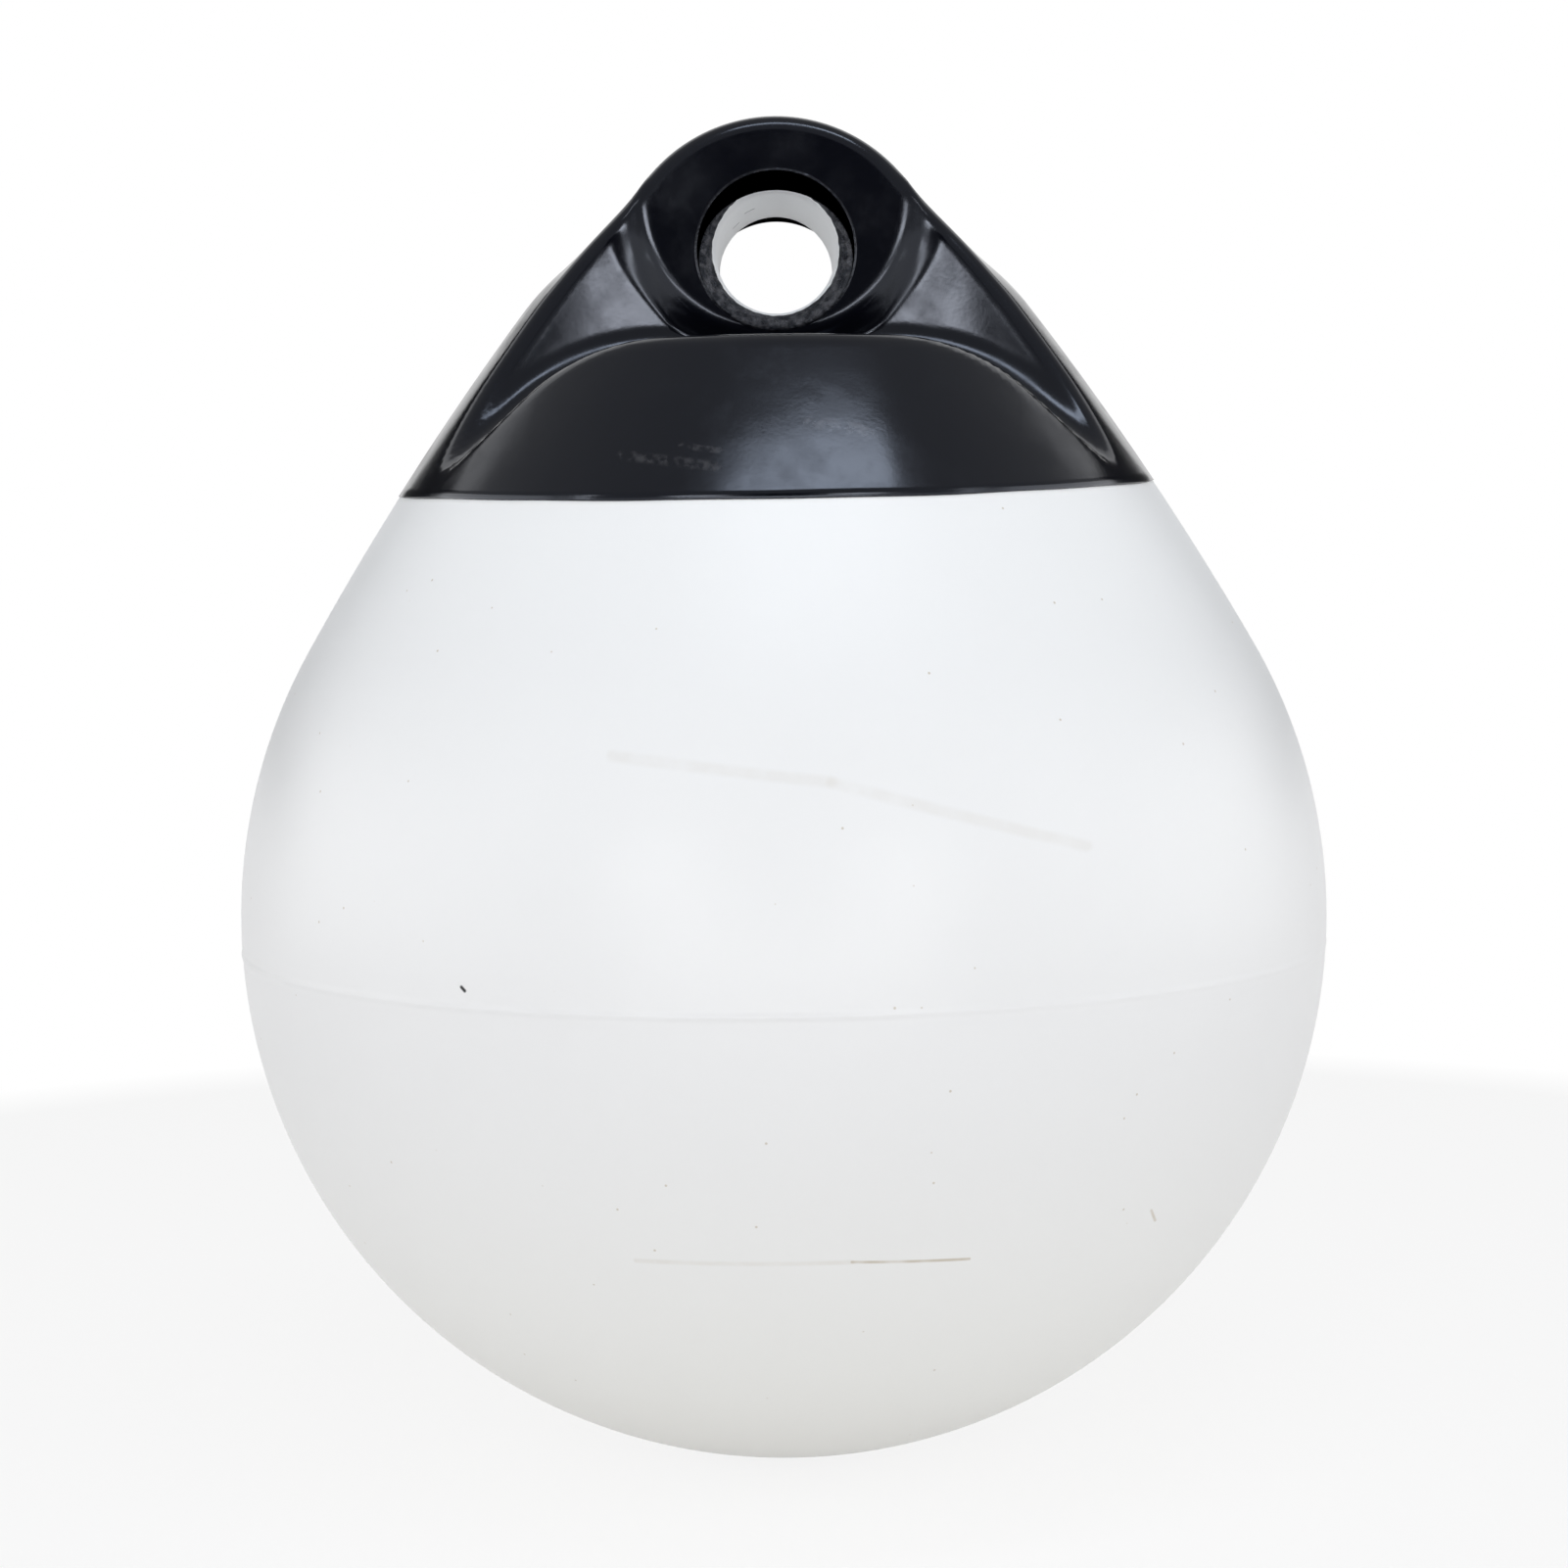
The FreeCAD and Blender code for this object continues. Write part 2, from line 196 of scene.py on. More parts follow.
class FenderStudio(bpy.types.PropertyGroup):
    camera_distance: length("Camera distance", 0.750, "From the camera to the fender's axis")
    camera_drop: length("Camera drop", 0.092, "From the eye down to the camera")
    lens: plain("Lens", 61.41, "Focal length in millimetres on a sensor 36 mm wide")
    pitch: angle("Pitch", 4.01, "How far the camera looks down")
    slide: plain("Slide", 0.0026, "Sideways shift of the frame, in frame widths")
    roll: angle("Roll", 0.7, "Roll that leans the fender to the left")
    air: plain("Air", 0.40, "Strength of the even light from all round")
    aim: point("Aim", (0, 0, -0.15), "Where all lamps point")
    top_place: point("Top place", (0.13, -0.52, 1.0), "Middle of the strip lamp above the front")
    top_size: span("Top size", (0.76, 0.16), "Its width and height")
    top_power: plain("Top lamp", 2.6, "Its power in watts")
    cool: colour("Cool light", (0.84, 0.91, 1.0), "Tint of the top lamp")
    low_place: point("Low place", (0, -1.25, -0.25), "Middle of the long low lamp in front")
    low_size: span("Low size", (1.3, 0.12), "Its width and height")
    low_power: plain("Low lamp", 3.0, "Its power in watts")
    front_place: point("Front place", (0.475, -1.18, 0.085), "Middle of the lamp right of the camera")
    front_size: span("Front size", (0.30, 0.13), "Width and height of each")
    front_power: plain("Front lamps", 1.35, "Power of each in watts")
    strip_place: point("Strip place", (1.10, -0.70, 0.10), "Middle of the narrow lamp at the right")
    strip_size: span("Strip size", (0.07, 0.9), "Width and height of each")
    strip_power: plain("Strip lamps", 1.0, "Power of each in watts")
    side_place: point("Side place", (1.45, 0.05, -0.05), "Middle of the soft lamp at the right")
    side_size: span("Side size", (1.3, 0.8), "Width and height of each")
    side_power: plain("Side lamps", 4.8, "Power of each in watts")
    card_top: length("Card top", 0.60, "Height of the cards' upper edge")
    front_card: span("Front card", (0.28, -1.4), "Right end of the card in front, which stands on the floor")
    back_card_inner: span("Back card's inner end", (0.54, 0.98), "Inner end of the card behind on the right")
    back_card_outer: span("Back card's outer end", (1.15, 0.60), "Its outer end")
    back_card_low: length("Back card's foot", -0.10, "Height of its lower edge")
    paper_half: length("Half paper", 6.0, "Half its width, and from the eye to its front edge")
    wall_place: length("Wall place", 3.5, "From the eye back to the backdrop's wall")
    wall_bend: length("Wall bend", 1.5, "Radius of the bend between floor and wall")
    wall_height: length("Wall height", 6.0, "Height of the backdrop over the floor")
    veil: plain("Veil", 0.85, "How white the near floor looks: 0 lit paper, 1 white")
    near: length("Near floor", 0.36, "Distance to which the floor is plain lit paper")
    beyond: length("Far floor", 0.75, "Distance from which it is plain white")


def settings():
    scene = bpy.context.scene
    return scene.fender_form, scene.fender_coat, scene.fender_valve


def unit(vectors):
    """Vectors divided by their lengths."""
    return vectors / np.maximum(np.linalg.norm(vectors, axis=-1, keepdims=True), 1e-12)


def side_of(values):
    """Signs of the values, with 1 for nought."""
    return np.sign(values) + (values == 0)


def inside_out(solid):
    """All that is outside a solid: its distance and normals turned round."""
    return -solid[0], -solid[1]


def meet(first, second, radius):
    """What two solids share. A solid is its distance function with the unit normals.

    Near the edge the distance is that to a ball of the radius that rolls along inside it: the point's
    offset from the ball's centre has the components (distance + radius) along the two normals.
    """
    (d1, n1), (d2, n2) = first, second
    cosine = np.clip((n1 * n2).sum(-1), -0.9995, 0.9995)
    a, b = d1 + radius, d2 + radius
    part1 = (a - b * cosine) / (1 - cosine**2)
    part2 = (b - a * cosine) / (1 - cosine**2)
    offset = part1[..., None] * n1 + part2[..., None] * n2
    rolled = (part1 > 0) & (part2 > 0)
    distance = np.where(rolled, np.linalg.norm(offset, axis=-1) - radius, np.maximum(d1, d2))
    flat = np.where((d1 > d2)[..., None], n1, n2)
    return distance, np.where(rolled[..., None], unit(offset), flat)


def join(first, second, radius):
    """Two solids in one, with a fillet of the radius where they meet."""
    return inside_out(meet(inside_out(first), inside_out(second), radius))


def from_axis(points, centre, across, radius):
    """Cylinder: distance across its axis, less its radius."""
    offset = (points - np.array(centre)) * np.array(across)
    return np.linalg.norm(offset, axis=-1) - radius, unit(offset)


def in_plane(r, z, centre, radius):
    """Circle in a section: distance to it and the normal's two components."""
    dr, dz = r - centre[0], z - centre[1]
    far = np.maximum(np.hypot(dr, dz), 1e-12)
    return far - radius, dr / far, dz / far


def at_angle(centre, radius, turn):
    """Point of a section at a radius and an angle from a centre."""
    return centre[0] + radius * np.cos(turn), centre[1] + radius * np.sin(turn)


def meridian(form):
    """Middles of the meridian's three arcs: ball, flank and shoulder, each tangent to the next."""
    ball = (0.0, -form.ball_drop)
    flank = at_angle(ball, form.ball_radius - form.flank_radius, form.flank_start)
    shoulder = at_angle(flank, form.flank_radius - form.shoulder_radius, form.shoulder_start)
    return ball, flank, shoulder


def pick(sector, parts):
    """Distance and the normal's two components, from the part whose sector the point is in."""
    return (np.choose(sector, [part[k] for part in parts]) for k in range(3))


def turned(points, form):
    """Ball, flank and shoulder turned about Z: the arc of the sector that the point is in."""
    ball, flank, shoulder = meridian(form)
    r, z = np.hypot(points[..., 0], points[..., 1]), points[..., 2]
    parts = [in_plane(r, z, ball, form.ball_radius), in_plane(r, z, flank, form.flank_radius)]
    parts.append(in_plane(r, z, shoulder, form.shoulder_radius))
    top = shoulder[1] + form.shoulder_radius
    parts.append((z - top, np.zeros_like(z), np.ones_like(z)))
    on_ball = np.arctan2(z - ball[1], r) < form.flank_start
    on_flank = np.arctan2(z - flank[1], r - flank[0]) < form.shoulder_start
    sector = np.where(on_ball, 0, np.where(on_flank, 1, np.where(r > shoulder[0], 2, 3)))
    distance, out, up = pick(sector, parts)
    safe = np.maximum(r, 1e-12)
    normals = np.stack([out * points[..., 0] / safe, out * points[..., 1] / safe, up], -1)
    return distance, normals


def slab(points, axis, half):
    """All that is within half a thickness of the middle plane."""
    normals = np.zeros_like(points)
    normals[..., axis] = side_of(points[..., axis])
    return np.abs(points[..., axis]) - half, normals


def under_floor(points, form):
    """All that is below the scoops' floor: flat in the middle, a bend and then a straight slope."""
    x, z = np.abs(points[..., 0]), points[..., 2]
    side = side_of(points[..., 0])
    centre = (form.floor_half, -form.floor_drop - form.floor_bend)
    bend = in_plane(x, z, centre, form.floor_bend)
    steep = np.pi / 2 - form.floor_slope
    along = (np.cos(steep), np.sin(steep))
    run = (x - centre[0]) * along[0] + (z - centre[1]) * along[1] - form.floor_bend
    one = np.ones_like(x)
    parts = [(z + form.floor_drop, 0 * one, one), bend, (run, along[0] * one, along[1] * one)]
    on_bend = np.arctan2(z - centre[1], x - centre[0]) > steep
    sector = np.where(x < form.floor_half, 0, np.where(on_bend, 1, 2))
    distance, out, up = pick(sector, parts)
    return distance, np.stack([side * out, 0 * out, up], -1)


def outside(points, form):
    """The fender's whole outside, without eye, seam and valve: distance and normals."""
    ends = slab(points, 1, form.arch_reach)
    arch = from_axis(points, (0, 0, -form.arch_drop), (1, 0, 1), form.arch_radius)
    crown = join(turned(points, form), meet(arch, ends, form.rim), form.arch_root)

    side = side_of(points[..., 1:2])
    mirror = np.concatenate([np.ones_like(side), side, np.ones_like(side)], -1)
    flipped = points * mirror
    drum = from_axis(flipped, (0, form.web_half + form.drum_radius, 0), (1, 1, 0), form.drum_radius)
    kept = join(under_floor(flipped, form), inside_out(drum), form.cove)

    radial = (flipped - np.array((0, 0, form.boss_lift))) * np.array((1, 0, 1))
    spread = np.array((form.boss_half - form.web_half, form.arch_reach - form.boss_face))
    spread = spread / np.hypot(*spread)
    away = np.linalg.norm(radial, axis=-1) - form.boss_face
    deep = flipped[..., 1] - form.boss_half
    cone_normals = unit(radial) * spread[0] + np.array((0, spread[1], 0))
    cone = (away * spread[0] + deep * spread[1], cone_normals)
    face = (deep, np.broadcast_to(np.array((0.0, 1.0, 0.0)), flipped.shape))
    beside = np.clip((flipped[..., 2] - form.boss_low) / (form.boss_high - form.boss_low), 0, 1)
    foot = form.boss_root + (form.boss_flank - form.boss_root) * beside * beside * (3 - 2 * beside)
    kept = join(kept, meet(cone, face, form.boss_lip), foot)
    return meet(crown, (kept[0], kept[1] * mirror), form.rim)


def settle(points, form, lift=0.0, steps=3):
    """Points moved along the normals until they lie on the outside, or at a lift above it."""
    for _ in range(steps):
        distance, normals = outside(points, form)
        points = points - (distance - lift)[..., None] * normals
    return points


def ring_radius(form, height):
    """Radius of the turned form where its flank is at a height."""
    _, flank, _ = meridian(form)
    return flank[0] + np.sqrt(form.flank_radius**2 - (height - flank[1]) ** 2)


def half_mouth(form, faces):
    """Half the front mouth from its top to its bottom: the angles and the points."""
    turn = np.linspace(np.pi / 2, -np.pi / 2, faces + 1)
    points = np.stack([np.cos(turn), 0 * turn, np.sin(turn)], -1) * form.mouth_radius
    points[:, 1] = -form.boss_half
    return turn, points


def first_quarter(form, ring, columns, rows):
    """Start of a quarter of the head: straight lines from the mouth to the middle plane and the ring.

    The first parameter turns from the top of the mouth to its bottom, the second runs outwards. The
    lines bulge upwards so that all of their points lie near the outside.
    """
    turn, mouth = half_mouth(form, columns)
    corner = columns // 2
    radius = ring_radius(form, ring)
    over = np.linspace(0, 1, corner + 1)[:, None]
    top = np.array((0, 0, form.arch_radius - form.arch_drop))
    saddle = settle(top * (1 - over) + np.array((radius, 0, ring)) * over, form)
    quarter = np.linspace(0, np.pi / 2, columns - corner + 1)[1:]
    round_ring = np.stack([np.cos(quarter) * radius, -np.sin(quarter) * radius, 0 * quarter + ring], -1)
    outer = np.concatenate([saddle, round_ring])
    step = np.linspace(0, 1, rows + 1)[None, :, None]
    grid = mouth[:, None] * (1 - step) + outer[:, None] * step
    low = np.clip(-np.sin(turn), 0, 1)[:, None, None]
    bulge = np.array((0, -0.012, 0.030))
    return grid + np.sin(np.pi * step) * low * bulge


def relaxed(grid, form, ring, rounds):
    """Grid whose every point moves to the middle of its four neighbours and back onto the outside.

    The neighbours past a middle plane are mirror images. The ring's points keep to the ring.
    """
    corner = (len(grid) - 1) // 2
    radius = ring_radius(form, ring)
    for _ in range(rounds):
        mirror_x = np.array((-1, 1, 1))
        mirror_y = np.array((1, -1, 1))
        tall = np.concatenate([grid[1:2] * mirror_x, grid, grid[-2:-1] * mirror_x])
        wide = np.concatenate([grid, grid[:, -2:-1] * mirror_y], 1)
        moved = grid.copy()
        moved[:, 1:] = (tall[:-2, 1:] + tall[2:, 1:] + wide[:, :-2] + wide[:, 2:]) / 4
        around = (tall[:-2, -1] + tall[2:, -1]) / 2
        flat = unit(around[corner + 1:, :2]) * radius
        moved[corner + 1:, -1] = np.concatenate([flat, np.full((len(flat), 1), ring)], -1)
        moved[corner, -1] = (radius, 0, ring)
        moved[:, 1:-1] = settle(moved[:, 1:-1], form, steps=1)
        moved[:corner, -1] = settle(moved[:corner, -1], form, steps=1)
        grid = moved
    return grid


def finer(grid):
    """Grid with a new point halfway between each two."""
    for axis in (0, 1):
        grid = np.moveaxis(grid, axis, 0)
        dense = np.empty((2 * len(grid) - 1,) + grid.shape[1:])
        dense[::2] = grid
        dense[1::2] = (grid[1:] + grid[:-1]) / 2
        grid = np.moveaxis(dense, 0, axis)
    return grid


def head_halves(form, ring):
    """Front and back of the head as two closed grids round the mouths, relaxed from coarse to fine."""
    rounds_of_level = (150, 60, 30, 12)
    coarse = 2 ** (len(rounds_of_level) - 1)
    grid = first_quarter(form, ring, form.columns // coarse, form.rows // coarse)
    for rounds in rounds_of_level:
        grid = relaxed(grid, form, ring, rounds)
        if len(grid) <= form.columns:
            grid = finer(grid)
            grid[:, 0] = half_mouth(form, len(grid) - 1)[1]
    grid = settle(grid, form)
    left = grid[-2:0:-1] * np.array((-1, 1, 1))
    front = np.concatenate([grid, left])
    return front, front * np.array((1, -1, 1))


def edge_height(azimuth, form, coat, ring):
    """Height of the coat's edge: a plane that dips forwards and to the left, raised at the sides.

    Three waves that run 3, 8 and 17 times round are added to it.
    """
    radius = ring_radius(form, ring)
    x, y = radius * np.cos(azimuth), radius * np.sin(azimuth)
    plane = np.tan(coat.forward_tilt) * y + np.tan(coat.side_tilt) * x - coat.edge_drop
    waves = 0.5 * np.sin(3 * azimuth + 1) + 0.3 * np.sin(8 * azimuth + 2) + 0.2 * np.sin(17 * azimuth)
    return plane + coat.side_rise * np.cos(azimuth) ** 2 + coat.waviness * waves


def to_edge(grid, form, coat, ring):
    """Head grid whose ring is slid along the outside to the coat's edge, fading out over a band."""
    height = edge_height(np.arctan2(grid[..., 1], grid[..., 0]), form, coat, ring)
    near = np.clip(1 - (grid[..., 2] - ring) / form.ring_band, 0, 1)
    slid = grid.copy()
    slid[..., 2] += (height - ring) * near * near * (3 - 2 * near)
    return settle(slid, form)


def valve_frame(form, valve):
    """Middle of the valve on the skin, its axis and two directions across it."""
    _, flank, _ = meridian(form)
    y, z = at_angle(flank, form.flank_radius, valve.place)
    axis = np.array((0, np.cos(valve.place), np.sin(valve.place)))
    return np.array((0, y, z)), axis, np.array((1.0, 0, 0)), np.cross(axis, (1.0, 0, 0))


def with_round_hole(grid, form, valve):
    """Back grid in which a block of faces round the valve is drawn out into a circle.

    Counted in faces from the middle, the block's border goes to the seat's radius, and the faces
    round it are spread evenly up to a wider border that stays. Returns the grid, the faces to leave
    out and the border's places in the grid.
    """
    middle, axis, across, up = valve_frame(form, valve)
    column = form.columns
    row = int(np.argmin(np.linalg.norm(grid[column] - middle, axis=-1)))
    wide = np.linalg.norm(grid[column + 1, row] - grid[column, row])
    tall = np.linalg.norm(grid[column, row + 1] - grid[column, row])
    half_u, half_s = round(valve.seat_radius / wide), round(valve.seat_radius / tall)
    i, j = np.meshgrid(np.arange(grid.shape[0]) - column, np.arange(grid.shape[1]) - row, indexing="ij")
    block = np.maximum(np.abs(i) / half_u, np.abs(j) / half_s)
    widest = 1.7
    border = min(widest, (grid.shape[1] - 1 - row) / half_s)
    offset = grid - middle
    flat = np.stack([offset @ across, offset @ up], -1)
    away = np.maximum(np.linalg.norm(flat, axis=-1), 1e-9)
    wanted = away / np.maximum(block, 1e-9) * border - valve.seat_radius
    wanted = valve.seat_radius + wanted * (block - 1) / (border - 1)
    moved = middle + (flat * (wanted / away)[..., None]) @ np.stack([across, up])
    moved = moved + (offset @ axis)[..., None] * axis
    inside = (block >= 1) & (block < border)
    grid = np.where(inside[..., None], settle(np.where(inside[..., None], moved, grid), form), grid)
    covered = block <= 1
    left_out = covered[:-1, :-1] & covered[1:, 1:] & covered[1:, :-1] & covered[:-1, 1:]
    u = np.arange(-half_u, half_u + 1)
    s = np.arange(-half_s, half_s + 1)
    loop_u = np.concatenate([u, np.full(2 * half_s, half_u), u[::-1][1:], np.full(2 * half_s - 1, -half_u)])
    loop_s = np.concatenate([np.full(len(u), -half_s), s[1:], np.full(len(u) - 1, half_s), s[::-1][1:-1]])
    return grid, left_out, (loop_u + column, loop_s + row)


def seat_wall(loop, form, valve):
    """Recess for the bush: wall, floor, hole and its end, turned about the valve's axis from the border."""
    middle, axis, across, up = valve_frame(form, valve)
    offset = loop - middle
    flat = np.stack([offset @ across, offset @ up], -1)
    outwards = unit(flat) @ np.stack([across, up])
    steps = (
        (valve.seat_radius, -valve.seat_depth),
        (valve.hole_radius, -valve.seat_depth),
        (valve.hole_radius, -valve.hole_depth),
        (0.0, -valve.hole_depth),
    )
    rows = [middle + outwards * radius + axis * depth for radius, depth in steps]
    return np.stack([loop] + rows, 1)


def mouth_turn(form):
    """Angles of the mouth's points, in the head grid's order."""
    half, _ = half_mouth(form, form.columns)
    return np.concatenate([half, np.pi - half[-2:0:-1]])


def flare(form):
    """Round of the mouth in a section through the eye: its middle, its radius and its turn to the face."""
    out = form.mouth_radius - form.eye_radius
    radius = (form.mouth_depth**2 + out**2) / (2 * out)
    land = form.boss_half - form.mouth_depth
    return form.eye_radius + radius, land, radius, np.arcsin(form.mouth_depth / radius)


def eye_wall(form):
    """Wall of the rope eye turned about Y: flare, straight land and flare."""
    flare_points, land_points = 10, 14
    middle, land, radius, start = flare(form)
    turn = np.linspace(start, 0, flare_points)
    r, y = middle - radius * np.cos(turn), -land - radius * np.sin(turn)
    straight = np.linspace(-land, land, land_points)[1:-1]
    r = np.concatenate([r, np.full(len(straight), form.eye_radius), r[::-1]])
    y = np.concatenate([y, straight, -y[::-1]])
    round_eye = mouth_turn(form)[:, None]
    return np.stack([r * np.cos(round_eye), y + 0 * round_eye, r * np.sin(round_eye)], -1)


def coat_in_flare(form, coat, lift, side):
    """Coat on the flare, turned about Y down to a ragged edge, which strays in three waves."""
    flare_points = 8
    middle, land, radius, start = flare(form)
    turn = mouth_turn(form)
    stray = 0.4 * np.sin(7 * turn + side) + 0.3 * np.sin(23 * turn + 2) + 0.3 * np.sin(41 * turn + side)
    end = np.arccos((middle - coat.eye_edge - coat.eye_stray * stray) / radius)
    share = np.linspace(0, 1, flare_points)[None, :]
    at = start + (end[:, None] - start) * share
    r = middle - (radius + lift) * np.cos(at)
    y = side * (land + (radius + lift) * np.sin(at))
    return np.stack([r * np.cos(turn)[:, None], y, r * np.sin(turn)[:, None]], -1)


def edge_ring(front, back, form):
    """Points of both halves on the coat's edge, once round from +X by the front."""
    corner = form.columns // 2
    low = slice(corner, 2 * form.columns - corner + 1)
    return np.concatenate([front[low, -1][:-1], back[low, -1][::-1][:-1]])


def ball_grid(ring, form):
    """Ball from the coat's edge down to its bottom: directions from the ball's middle, set on the outside.

    The first levels follow the coat's edge, and the seam's levels lie close together. Its flash is a
    low bell-shaped bead whose height changes round the ball and is greatest at the left.
    """
    flash_reach, flash_levels = 2.2, 13
    clear, fade_turn, bell = 0.6, 0.5, 1.4
    middle = np.array((0, 0, -form.ball_drop))
    offset = ring - middle
    out = unit(offset[:, :2])
    start = np.arctan2(offset[:, 2], np.linalg.norm(offset[:, :2], axis=-1))
    seam = -np.arcsin(form.seam_drop / form.ball_radius)
    fine = np.linspace(-flash_reach, flash_reach, flash_levels) * form.seam_half / form.ball_radius + seam
    even = np.linspace(start.mean(), -np.pi / 2, form.ball_rows)
    even = even[np.abs(even - seam) > np.ptp(fine) * clear]
    levels = np.sort(np.concatenate([even, fine]))[::-1]
    fade = np.clip(1 - (levels[0] - levels) / fade_turn, 0, 1) ** 2
    turn = levels + (start[:, None] - levels[0]) * fade
    flat = np.cos(turn)[..., None] * out[:, None]
    grid = middle + form.ball_radius * np.concatenate([flat, np.sin(turn)[..., None]], -1)
    grid = settle(grid, form)
    azimuth = np.arctan2(out[:, 1], out[:, 0])[:, None]
    waves = 0.2 * np.sin(3 * azimuth + 0.6) + 0.1 * np.sin(11 * azimuth) + 0.08 * np.sin(29 * azimuth)
    height = form.seam_height * (0.7 + waves) * (0.85 - 0.45 * np.cos(azimuth))
    across = (turn - seam) * form.ball_radius / form.seam_half
    grid += (height * np.exp(-bell * across**2))[..., None] * unit(grid - middle)
    grid[:, 0] = ring
    grid[:, -1] = middle - np.array((0, 0, form.ball_radius))
    return grid


def faces_of(grid, first, closed, left_out=None):
    """Four-sided faces between a grid's points, which are numbered from first."""
    index = np.arange(grid.shape[0] * grid.shape[1]).reshape(grid.shape[:2]) + first
    here, there = (index, np.roll(index, -1, 0)) if closed else (index[:-1], index[1:])
    quads = np.stack([here[:, :-1], there[:, :-1], there[:, 1:], here[:, 1:]], -1)
    if left_out is not None:
        kept, rest = quads[: len(left_out)][~left_out], quads[len(left_out):]
        return kept.tolist() + rest.reshape(-1, 4).tolist()
    return quads.reshape(-1, 4).tolist()


def new_mesh(name, points, faces):
    mesh = bpy.data.meshes.new(name)
    mesh.from_pydata(points, [], faces)
    return mesh


def add_thing(name, data):
    thing = bpy.data.objects.new(name, data)
    bpy.context.scene.collection.objects.link(thing)
    return thing


def add_piece(name, sheets, nodes):
    """One object from sheets that share their borders: each a grid, closed or not, and faces left out."""
    merge = 2e-6
    points, faces = [], []
    for grid, closed, left_out in sheets:
        faces += faces_of(grid, sum(len(part) for part in points), closed, left_out)
        points.append(grid.reshape(-1, 3))
    mesh = new_mesh(name, np.concatenate(points).tolist(), faces)
    work = bmesh.new()
    work.from_mesh(mesh)
    bmesh.ops.remove_doubles(work, verts=work.verts, dist=merge)
    bmesh.ops.delete(work, geom=[v for v in work.verts if not v.link_faces], context="VERTS")
    bmesh.ops.recalc_face_normals(work, faces=work.faces)
    work.to_mesh(mesh)
    work.free()
    mesh.shade_smooth()
    piece = add_thing(name, mesh)
    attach(piece, "root")
    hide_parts(*nodes)
    return piece


def head_grids(form, coat, valve):
    """Both halves of the head down to the coat's edge, the back one with the valve's hole."""
    ring = -form.ring_drop
    front, back = (to_edge(half, form, coat, ring) for half in head_halves(form, ring))
    back, left_out, loop = with_round_hole(back, form, valve)
    return front, back, left_out, loop


class FENDER_OT_body(bpy.types.Operator):
    """Build the moulded body: ball, head, eye, seam and the valve's seat"""

    bl_idname = "fender.body"
    bl_label = "Moulded body"

    def execute(self, context):
        form, coat, valve = settings()
        front, back, left_out, loop = head_grids(form, coat, valve)
        ring = edge_ring(front, back, form)
        sheets = [
            (front, True, None),
            (back, True, left_out),
            (seat_wall(back[loop], form, valve), True, None),
            (eye_wall(form), True, None),
            (ball_grid(ring, form), True, None),
        ]
        piece = add_piece("moulded_body_skin", sheets, ["moulded_body"])
        scene = context.scene
        piece.data.materials.append(vinyl_material(scene.fender_finish, scene.fender_wear))
        return {"FINISHED"}


class FENDER_OT_coat(bpy.types.Operator):
    """Build the black coat over the head, from the eye's flares down to its edge"""

    bl_idname = "fender.coat"
    bl_label = "Coat"

    def execute(self, context):
        form, coat, valve = settings()
        front, back, left_out, loop = head_grids(form, coat, valve)
        outer = [settle(half, form, coat.thickness) for half in (front, back)]
        inner = [settle(half, form, coat.gap) for half in (front, back)]
        rings = [edge_ring(*pair, form) for pair in (outer, inner)]
        sheets = [(outer[0], True, None), (outer[1], True, left_out), (np.stack(rings, 1), True, None)]
        sheets += [(inner[0], True, None), (inner[1], True, left_out)]
        sheets.append((np.stack([outer[1][loop], inner[1][loop]], 1), True, None))
        for side, k in ((-1, 0), (1, 1)):
            over, under = (coat_in_flare(form, coat, lift, side) for lift in (coat.thickness, coat.gap))
            over[:, 0], under[:, 0] = outer[k][:, 0], inner[k][:, 0]
            sheets.append((np.concatenate([over, under[:, ::-1]], 1), True, None))
        piece = add_piece("head_coat_skin", sheets, ["head_coat"])
        scene = context.scene
        piece.data.materials.append(coat_material(scene.fender_finish, scene.fender_wear, form))
        return {"FINISHED"}


class FENDER_OT_valve(bpy.types.Operator):
    """Finish the valve's bush, screw and sealing ring"""

    bl_idname = "fender.valve"
    bl_label = "Valve"

    def execute(self, context):
        finish = context.scene.fender_finish
        wanted = {
            "valve_body": ("Bush nylon", finish.bush, finish.bush_rough),
            "valve_screw": ("Screw nylon", finish.screw, finish.screw_rough),
            "valve_seal": ("Seal rubber", finish.seal, finish.seal_rough),
        }
        for node, (name, base, rough) in wanted.items():
            material = satin_material(name, base, rough)
            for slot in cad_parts[node].material_slots:
                slot.material = material
        return {"FINISHED"}


def new_material(name):
    material = bpy.data.materials.new(name)
    material.use_nodes = True
    tree = material.node_tree
    return material, tree, tree.nodes["Principled BSDF"]


def fill(tree, node, inputs):
    """Sets or links a node's sockets, by name or number."""
    for key, value in inputs.items():
        if isinstance(value, bpy.types.NodeSocket):
            tree.links.new(value, node.inputs[key])
        else:
            node.inputs[key].default_value = value


def add_node(tree, kind, inputs=None, **values):
    """Node of a kind with its settings and filled sockets."""
    node = tree.nodes.new("ShaderNode" + kind)
    for key, value in values.items():
        setattr(node, key, value)
    fill(tree, node, inputs or {})
    return node


def times(tree, first, second, operation="MULTIPLY"):
    """Product of two values, or what another operation makes of them."""
    return add_node(tree, "Math", {0: first, 1: second}, operation=operation).outputs[0]


def combine(tree, operation, inputs, output=0):
    """What an operation makes of vectors."""
    return add_node(tree, "VectorMath", inputs, operation=operation).outputs[output]


def ranged(tree, value, start, end, low=0.0, high=1.0, shape="LINEAR"):
    """Low where a value is at the start, high where it is at the end, and between them on the way."""
    inputs = {0: value, 1: start, 2: end, 3: low, 4: high}
    return add_node(tree, "MapRange", inputs, interpolation_type=shape).outputs[0]


